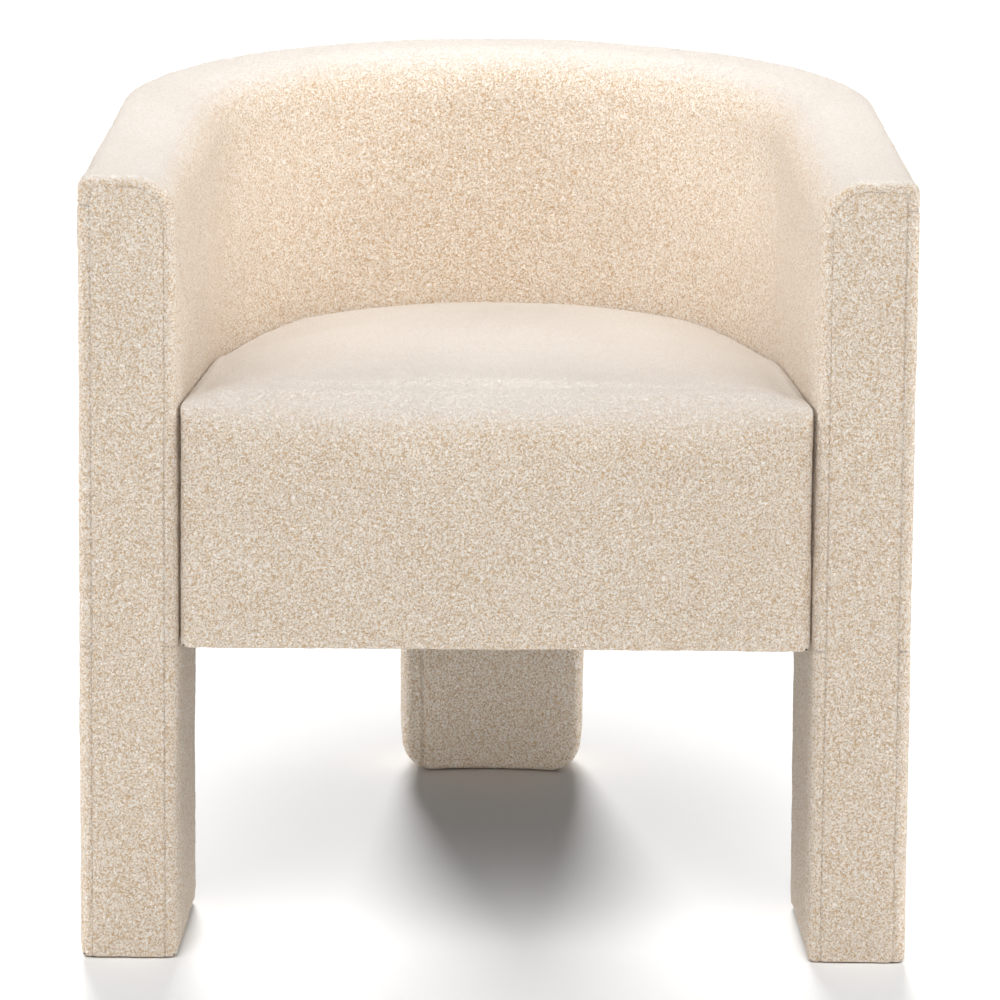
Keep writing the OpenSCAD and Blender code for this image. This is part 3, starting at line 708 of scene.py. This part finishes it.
def seat_shape(step):
    """Points, faces, a mask of the outer face and one of what the simulation holds still."""
    edge_f, edge_s, corner = 40 * MM, 8 * MM, 10 * MM
    inner, na, ns = seat_outline(step, SEAT_R - edge_s, FRONT + edge_f, corner)
    n = len(inner)
    # the front's share of each loop point, eased round the corners
    half = max(2, spaced(CORNER_RUN, step))
    k = np.arange(n)
    k = np.where(k > na + ns + na / 2, k - n, k)
    beyond = np.maximum(-k, k - na)
    share = 1 - smooth((beyond + half) / (2 * half))
    rho = edge_s + (edge_f - edge_s) * share
    s, t = np.linspace(0, 1, na + 1)[:, None, None], np.linspace(0, 1, ns + 1)[None, :, None]
    front, right = inner[: na + 1], inner[na : na + ns + 1]
    back = inner[na + ns : 2 * na + ns + 1][::-1]
    left = np.concatenate([inner[2 * na + ns :], inner[:1]])[::-1]
    grid = (
        (1 - t) * front[:, None] + t * back[:, None] + (1 - s) * left[None] + s * right[None]
        - (1 - s) * (1 - t) * front[0] - s * (1 - t) * front[-1] - (1 - s) * t * back[0] - s * t * back[-1]
    )
    top = np.concatenate([grid, seat_top(grid)[..., None]], -1)
    start = top.reshape(-1, 3)
    index = np.arange((na + 1) * (ns + 1)).reshape(na + 1, ns + 1)
    ring0 = np.concatenate([index[:-1, 0], index[-1, :-1], index[::-1, -1][:-1], index[0, ::-1][:-1]])
    faces = [
        (index[i, j], index[i + 1, j], index[i + 1, j + 1], index[i, j + 1])
        for i in range(na)
        for j in range(ns)
    ]
    z0 = seat_top(inner)
    rings = []
    for phi in np.linspace(0, math.pi / 2, spaced(edge_f * 1.57, step) + 1)[1:]:
        f = 1 - math.sin(phi)
        loop = seat_outline(step, SEAT_R - edge_s * f, FRONT + edge_f * f, corner)[0]
        rings.append(np.column_stack([loop, z0 - rho * (1 - math.cos(phi))]))
    low, base_z = 4 * MM, UNDER - BELLY
    outline = seat_outline(step, SEAT_R, FRONT, corner)[0]
    for q in np.linspace(0, 1, spaced(SEAT_FRONT_H - edge_f - UNDER, step) + 1)[1:]:
        z = (z0 - rho) * (1 - q) + (base_z + low) * q
        rings.append(np.column_stack([outline, z]))
    walls = len(rings)
    for psi in np.linspace(0, math.pi / 2, max(3, spaced(low * 1.57, step)) + 1)[1:]:
        f = 1 - math.cos(psi)
        loop = seat_outline(step, SEAT_R - low * f, FRONT + low * f, corner - low * f)[0]
        rings.append(np.column_stack([loop, np.full(n, base_z + low * (1 - math.sin(psi)))]))
    skin_rings = len(rings)
    inside = seat_outline(step, SEAT_R - 2.5 * MM, POST_FRONT, 8 * MM)[0]
    for z in (UNDER + 0.2 * MM, SEAT_CAVITY_Z):
        rings.append(np.column_stack([inside, np.full(n, z)]))
    base = len(start)
    faces += [(ring0[i], ring0[(i + 1) % n], base + (i + 1) % n, base + i) for i in range(n)]
    faces += ring_faces(len(rings), n, base)
    end = base + (len(rings) - 1) * n
    faces.append([end + i for i in range(n)])
    verts = np.concatenate([start] + rings)
    skin = np.arange(len(verts)) < base + skin_rings * n
    held = ~skin
    n_round = spaced(edge_f * 1.57, step)
    for w in range(n_round // 2, skin_rings):
        a = base + w * n
        held[a : a + n] |= (share < 0.5) | (w >= walls - 1)
    return verts, faces, skin, held


def seat_cushion(name):
    verts, faces, skin, _ = seat_shape(STEP)
    ob = mesh_object(name, verts, faces)
    co = coords(ob)
    cage, c_faces, c_skin, held = seat_shape(COARSE)
    move = inflate(cage, c_faces, held, 9 * MM, 4.0, stiffness=8.0)
    move[:, 1] = np.maximum(move[:, 1], -2.5 * MM)
    co[skin] += carried(co[skin], cage[c_skin], move[c_skin], near=8)
    set_coords(ob, co)
    normal = np.array([v.normal for v in ob.data.vertices])
    co[skin] += (normal * nap(co)[:, None])[skin]
    set_coords(ob, co)
    return ob


# ---- materials ----


class Nodes:
    """A material's node tree, with short ways to add nodes and links."""

    def __init__(self, name):
        self.mat = bpy.data.materials.new(name)
        self.mat.use_nodes = True
        self.tree = self.mat.node_tree
        self.tree.nodes.clear()
        self.out = self.tree.nodes.new("ShaderNodeOutputMaterial")
        self.shader = self.add("ShaderNodeBsdfPrincipled")
        self.tree.links.new(self.shader.outputs[0], self.out.inputs["Surface"])
        self.place = self.add("ShaderNodeTexCoord").outputs["Object"]

    def add(self, kind, **values):
        node = self.tree.nodes.new(kind)
        for key, value in values.items():
            setattr(node, key, value)
        return node

    def put(self, node, **sockets):
        for key, value in sockets.items():
            socket = node.inputs[key.replace("_", " ")]
            if isinstance(value, bpy.types.NodeSocket):
                self.tree.links.new(value, socket)
            else:
                socket.default_value = value
        return node

    def noise(self, scale, detail=2.0, rough=0.5, distortion=0.0, at=None):
        node = self.add("ShaderNodeTexNoise")
        self.put(node, Vector=at or self.place, Scale=scale)
        self.put(node, Detail=detail, Roughness=rough, Distortion=distortion)
        return node.outputs["Fac"]

    def cells(self, scale):
        node = self.add("ShaderNodeTexVoronoi")
        return self.put(node, Vector=self.place, Scale=scale).outputs["Distance"]

    def stretch(self, scale):
        node = self.add("ShaderNodeMapping")
        self.put(node, Vector=self.place)
        node.inputs["Scale"].default_value = scale
        return node.outputs[0]

    def math(self, operation, *values, clamp=False):
        node = self.add("ShaderNodeMath", operation=operation, use_clamp=clamp)
        for i, value in enumerate(values):
            if isinstance(value, bpy.types.NodeSocket):
                self.tree.links.new(value, node.inputs[i])
            else:
                node.inputs[i].default_value = value
        return node.outputs[0]

    def ramp(self, fac, stops):
        node = self.add("ShaderNodeValToRGB")
        self.tree.links.new(fac, node.inputs[0])
        points = node.color_ramp.elements
        while len(points) < len(stops):
            points.new(0.5)
        for point, (at, colour) in zip(points, stops):
            point.position = at
            point.color = (*colour, 1.0) if hasattr(colour, "__len__") else (colour, colour, colour, 1.0)
        return node.outputs[0]

    def mix(self, fac, a, b, blend="MIX"):
        node = self.add("ShaderNodeMix", data_type="RGBA", blend_type=blend)
        for socket, value in ((node.inputs[0], fac), (node.inputs[6], a), (node.inputs[7], b)):
            if isinstance(value, bpy.types.NodeSocket):
                self.tree.links.new(value, socket)
            elif hasattr(value, "__len__"):
                socket.default_value = (*value, 1.0)
            else:
                socket.default_value = value
        return node.outputs[2]

    def bump(self, height, strength, distance):
        node = self.add("ShaderNodeBump")
        self.put(node, Height=height, Strength=strength, Distance=distance)
        self.tree.links.new(node.outputs[0], self.shader.inputs["Normal"])

    def finish(self, colour, roughness, **fixed):
        self.put(self.shader, Base_Color=colour, Roughness=roughness, **fixed)
        return self.mat


def boucle():
    """Short looped pile: pale curls about 2 mm across over tan pits, the tan partly the yarn's tone and
    partly painted shade in the pits; on the faces that look up a pale even colour that is partly the crushed,
    smoother pile of a top and partly painted light brightening the tops.
    """
    m = Nodes("boucle")
    warp = m.add("ShaderNodeTexNoise")
    m.put(warp, Vector=m.place, Scale=240.0, Detail=1.0)
    bent = m.add("ShaderNodeVectorMath", operation="MULTIPLY_ADD")
    m.tree.links.new(warp.outputs["Color"], bent.inputs[0])
    bent.inputs[1].default_value = (3.2 * MM, 3.2 * MM, 3.2 * MM)
    m.tree.links.new(m.place, bent.inputs[2])
    at = bent.outputs[0]
    worm = m.noise(580.0, 1.0, 0.5, 1.4, at)
    ridge = m.math("ABSOLUTE", m.math("SUBTRACT", worm, 0.5))
    ridge = m.math("SUBTRACT", 1.0, m.math("MULTIPLY", ridge, 7.0), clamp=True)
    loops = m.add("ShaderNodeTexVoronoi", feature="SMOOTH_F1")
    loops = m.put(loops, Vector=at, Scale=560.0, Smoothness=0.3).outputs["Distance"]
    loops = m.math("SUBTRACT", 1.0, m.math("MULTIPLY", loops, 1.3), clamp=True)
    clump = m.noise(160.0, 2.0, 0.5, 0.6)
    pile = m.math("ADD", m.math("MULTIPLY", ridge, 0.40), m.math("MULTIPLY", loops, 0.50))
    pile = m.math("ADD", pile, m.math("MULTIPLY_ADD", clump, 0.07, 0.025), clamp=True)
    # Painted top light: faces that look up are mixed towards a pale even colour, partly the crushed, smoother
    # pile of a top and partly painted light that makes the tops paler than the sides.
    facing = m.add("ShaderNodeSeparateXYZ")
    m.tree.links.new(m.add("ShaderNodeNewGeometry").outputs["Normal"], facing.inputs[0])
    felted = m.ramp(facing.outputs["Z"], [(0.45, 0.0), (0.9, 0.65)])
    # Colour by pile height: the dark tan in the pits is partly the yarn's tone and partly painted shade
    # between the loops, and the near-white on the crests is partly a painted highlight.
    curls = m.ramp(pile, [
        (0.18, (0.58, 0.39, 0.22)), (0.38, (0.87, 0.73, 0.57)),
        (0.6, (0.96, 0.89, 0.81)), (0.82, (0.99, 0.96, 0.93)),
    ])
    # The pale top colour (0.95, 0.90, 0.85) is partly painted top light.
    colour = m.mix(felted, curls, (0.95, 0.90, 0.85))
    patch = m.ramp(m.noise(9.0, 3.0, 0.55), [(0.3, (0.97, 0.96, 0.95)), (0.7, (1.0, 1.0, 1.0))])
    colour = m.mix(1.0, colour, patch, "MULTIPLY")
    m.bump(pile, 0.9, 1.2 * MM)
    rough = m.ramp(pile, [(0.2, 0.98), (0.9, 0.8)])
    sheen = {"Sheen_Weight": 0.25, "Sheen_Roughness": 0.4, "Sheen_Tint": (1.0, 0.98, 0.96, 1.0)}
    return m.finish(colour, rough, Specular_IOR_Level=0.15, **sheen)


def felted(name, dark, light, scale, sheen=0.2, strength=0.5):
    """Needled or bonded fibres: felt, wadding and dust cloth."""
    m = Nodes(name)
    fibre = m.noise(scale, 4.0, 0.65, 2.2)
    long = m.noise(scale * 0.35, 3.0, 0.5, 3.5)
    both = m.math("ADD", m.math("MULTIPLY", fibre, 0.6), m.math("MULTIPLY", long, 0.4))
    colour = m.ramp(both, [(0.35, dark), (0.65, light)])
    m.bump(both, strength, 0.4 * MM)
    rough = m.ramp(both, [(0.3, 0.95), (0.7, 0.8)])
    return m.finish(colour, rough, Sheen_Weight=sheen, Specular_IOR_Level=0.2)


def foam():
    m = Nodes("foam")
    cell = m.cells(900.0)
    big = m.cells(330.0)
    pore = m.math("ADD", m.math("MULTIPLY", cell, 0.6), m.math("MULTIPLY", big, 0.5))
    shade = m.ramp(pore, [(0.1, (0.55, 0.43, 0.20)), (0.6, (0.88, 0.78, 0.50))])
    m.bump(pore, 0.6, 0.5 * MM)
    return m.finish(shade, m.ramp(pore, [(0.1, 0.95), (0.7, 0.8)]), Specular_IOR_Level=0.25)


def timber(name, dark, light, stretch, rings, ply=False):
    """Sawn wood with grain along X, pores and, in plywood, its layers."""
    m = Nodes(name)
    at = m.stretch(stretch)
    grain = m.noise(rings, 5.0, 0.6, 1.8, at)
    pores = m.noise(rings * 9, 2.0, 0.5, 0.2, at)
    colour = m.ramp(grain, [(0.3, dark), (0.5, light), (0.72, tuple(c * 0.86 for c in light))])
    colour = m.mix(m.ramp(pores, [(0.55, 0.0), (0.75, 0.35)]), colour, tuple(c * 0.45 for c in dark))
    height = m.math("ADD", grain, m.math("MULTIPLY", pores, -0.5))
    if ply:
        split = m.add("ShaderNodeSeparateXYZ")
        m.tree.links.new(m.place, split.inputs[0])
        layer = m.math("PINGPONG", split.outputs["Z"], 1.5 * MM)
        band = m.ramp(m.math("MULTIPLY", layer, 660.0), [(0.45, 0.0), (0.55, 1.0)])
        colour = m.mix(m.math("MULTIPLY", band, 0.35), colour, tuple(c * 0.6 for c in dark))
    m.bump(height, 0.25, 0.5 * MM)
    return m.finish(colour, m.ramp(grain, [(0.3, 0.72), (0.7, 0.55)]), Specular_IOR_Level=0.35)


def steel(name, dark, light, rough, worn):
    m = Nodes(name)
    grit = m.noise(420.0, 3.0, 0.6)
    patch = m.noise(60.0, 3.0, 0.6, 0.8)
    bright = m.ramp(grit, [(0.35, dark), (0.65, light)])
    colour = m.mix(m.ramp(patch, [(0.4, 0.0), (0.65, worn)]), bright, tuple(c * 0.5 for c in dark))
    m.bump(grit, 0.15, 0.1 * MM)
    return m.finish(colour, m.ramp(patch, [(0.3, rough), (0.7, rough + 0.2)]), Metallic=1.0)


def plastic():
    m = Nodes("glide_plastic")
    grain = m.noise(900.0, 3.0, 0.6)
    scuff = m.noise(70.0, 5.0, 0.7, 2.5)
    colour = m.ramp(scuff, [(0.4, (0.05, 0.032, 0.022)), (0.75, (0.12, 0.085, 0.06))])
    m.bump(m.math("ADD", grain, scuff), 0.2, 0.15 * MM)
    return m.finish(colour, m.ramp(scuff, [(0.35, 0.38), (0.7, 0.62)]), Specular_IOR_Level=0.4)


MATERIALS = {
    "boucle": boucle(),
    "foam": foam(),
    "wadding": felted("wadding", (0.72, 0.72, 0.70), (0.93, 0.93, 0.92), 260.0, 0.3, 0.7),
    "felt": felted("felt", (0.10, 0.10, 0.11), (0.36, 0.35, 0.34), 420.0, 0.2, 0.6),
    "dust_cloth": felted("dust_cloth", (0.012, 0.012, 0.013), (0.05, 0.05, 0.052), 700.0, 0.1, 0.4),
    "plywood": timber("plywood", (0.42, 0.25, 0.12), (0.72, 0.52, 0.31), (0.6, 0.6, 6.0), 30.0, ply=True),
    "hardwood": timber("hardwood", (0.36, 0.22, 0.11), (0.62, 0.44, 0.26), (0.35, 5.0, 5.0), 14.0),
    "fibreboard": felted("fibreboard", (0.28, 0.18, 0.10), (0.45, 0.32, 0.20), 500.0, 0.0, 0.3),
    "spring_steel": steel("spring_steel", (0.16, 0.16, 0.17), (0.34, 0.34, 0.35), 0.34, 0.4),
    "zinc_steel": steel("zinc_steel", (0.50, 0.50, 0.48), (0.76, 0.76, 0.74), 0.26, 0.25),
    "glide_plastic": plastic(),
}

for row in frame["record"]["subparts"]:
    node = frame["nodes"][row["node"]]
    for place in node.material_slots:
        place.material = MATERIALS[row["material_slot"]]


# ---- the padded pieces ----


def padded(ob, fill, *nodes):
    ob.data.materials.append(MATERIALS["boucle"])
    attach(ob, "root")
    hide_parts(*nodes)
    return ob


padded(
    panel("inside_upholstery", inside_build), 0.85,
    "inside_cover", "arm_inside_foams", "back_inside_foam", "arm_top_foams", "back_top_foam",
)
padded(
    panel("outside_upholstery", outside_build), 0.8,
    "outside_cover", "arm_outside_foams", "back_outside_foam",
)
for hand, side in (("left", -1.0), ("right", 1.0)):
    padded(
        panel(f"{hand}_arm_front_pad", front_build(side), cap=1.5 * MM), 0.8,
        f"{hand}_arm_front_cover", f"{hand}_arm_front_foam",
    )
    padded(
        panel(f"{hand}_leg_pad", leg_build(side), cap=1.5 * MM), 0.8,
        f"{hand}_leg_cover", f"{hand}_leg_foam",
    )
padded(rear_leg("rear_leg_pad"), 0.8, "rear_leg_cover", "rear_leg_foam")
padded(seat_cushion("seat_cushion"), 0.9, "seat_cover", "seat_wadding", "seat_foam", "seat_front_foam")

# ---- studio ----


def floor():
    m = Nodes("studio_floor")
    shade = m.ramp(m.noise(1.3, 2.0), [(0.3, (0.93, 0.93, 0.93)), (0.7, (0.95, 0.95, 0.95))])
    far = 40.0
    corners = [(-far, -far, 0), (far, -far, 0), (far, far, 0), (-far, far, 0)]
    ob = mesh_object("studio_floor", corners, [(0, 1, 2, 3)])
    ob.data.materials.append(m.finish(shade, 0.9, Specular_IOR_Level=0.1))
    ob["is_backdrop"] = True
    return ob


def placed_light(name, kind, energy, place, target, lit):
    """A lamp at place that points at target and lights only the pieces in the collection lit."""
    data = bpy.data.lights.new(name, kind)
    data.energy = energy
    ob = bpy.data.objects.new(name, data)
    ob.location = place
    ob.rotation_mode = "QUATERNION"
    ob.rotation_quaternion = (Vector(target) - Vector(place)).to_track_quat("-Z", "Y")
    ob.light_linking.receiver_collection = lit
    bpy.context.scene.collection.objects.link(ob)
    return ob


def soft_sun(name, elevation, azimuth, spread, energy, lit):
    """A distant soft lamp. Azimuth 0 is behind the chair and 180 is in front of it."""
    e, a = math.radians(elevation), math.radians(azimuth)
    towards = (math.sin(a) * math.cos(e), math.cos(a) * math.cos(e), math.sin(e))
    placed_light(name, "SUN", energy, towards, (0, 0, 0), lit).data.angle = math.radians(spread)


def lit_group(name, obs):
    group = bpy.data.collections.new(name)
    for ob in obs:
        group.objects.link(ob)
    return group


def studio():
    """A white floor lit from behind and above, and the chair by a broad lamp, a spot and soft suns."""
    ground, chair = lit_group("lit_floor", [floor()]), lit_group("lit_chair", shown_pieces())
    overhead = placed_light("overhead", "AREA", 15.5, (0.0, -0.1, 2.2), (0.0, -0.02, 0.0), chair).data
    overhead.shape, overhead.size, overhead.size_y = "RECTANGLE", 2.6, 1.2
    inside = placed_light("inside", "SPOT", 88.0, (0.0, -1.5, 2.0), (0.0, 0.1, 0.52), chair).data
    inside.spot_size, inside.spot_blend, inside.shadow_soft_size = math.radians(20), 0.8, 0.15
    soft_sun("front_high", 50, 180, 60, 0.36, chair)
    soft_sun("front_low", 10, 180, 20, 0.60, chair)
    soft_sun("left_low", 9, -142, 20, 0.29, chair)
    soft_sun("right_low", 9, 142, 20, 0.29, chair)
    soft_sun("left_side", 27, -80, 30, 1.6, chair)
    soft_sun("right_side", 27, 80, 30, 1.6, chair)
    soft_sun("floor_front", 55, 180, 60, 2.05, ground)
    soft_sun("floor_back", 18, -3, 17, 5.6, ground)
    world = bpy.data.worlds.new("studio")
    world.use_nodes = True
    world.node_tree.nodes["Background"].inputs[0].default_value = (1.0, 1.0, 1.0, 1.0)
    world.node_tree.nodes["Background"].inputs[1].default_value = 0.25
    bpy.context.scene.world = world
    bpy.context.scene.view_settings.view_transform = "Standard"


def camera():
    pitch, yaw, roll = 0.2339, 0.0026, 0.008
    forward = Vector((math.sin(yaw) * math.cos(pitch), math.cos(yaw) * math.cos(pitch), -math.sin(pitch)))
    right = Vector((math.cos(yaw), -math.sin(yaw), 0.0))
    up = right.cross(forward)
    x_axis = right * math.cos(roll) + up * math.sin(roll)
    y_axis = up * math.cos(roll) - right * math.sin(roll)
    data = bpy.data.cameras.new("camera")
    data.sensor_width = 36.0
    data.lens = 268.6
    data.clip_end = 200.0
    ob = bpy.data.objects.new("camera", data)
    turn = Matrix((x_axis, y_axis, -forward)).transposed()
    ob.matrix_world = Matrix.Translation((-0.0129, -6.507, 1.8755)) @ turn.to_4x4()
    bpy.context.scene.collection.objects.link(ob)
    bpy.context.scene.camera = ob


studio()
camera()
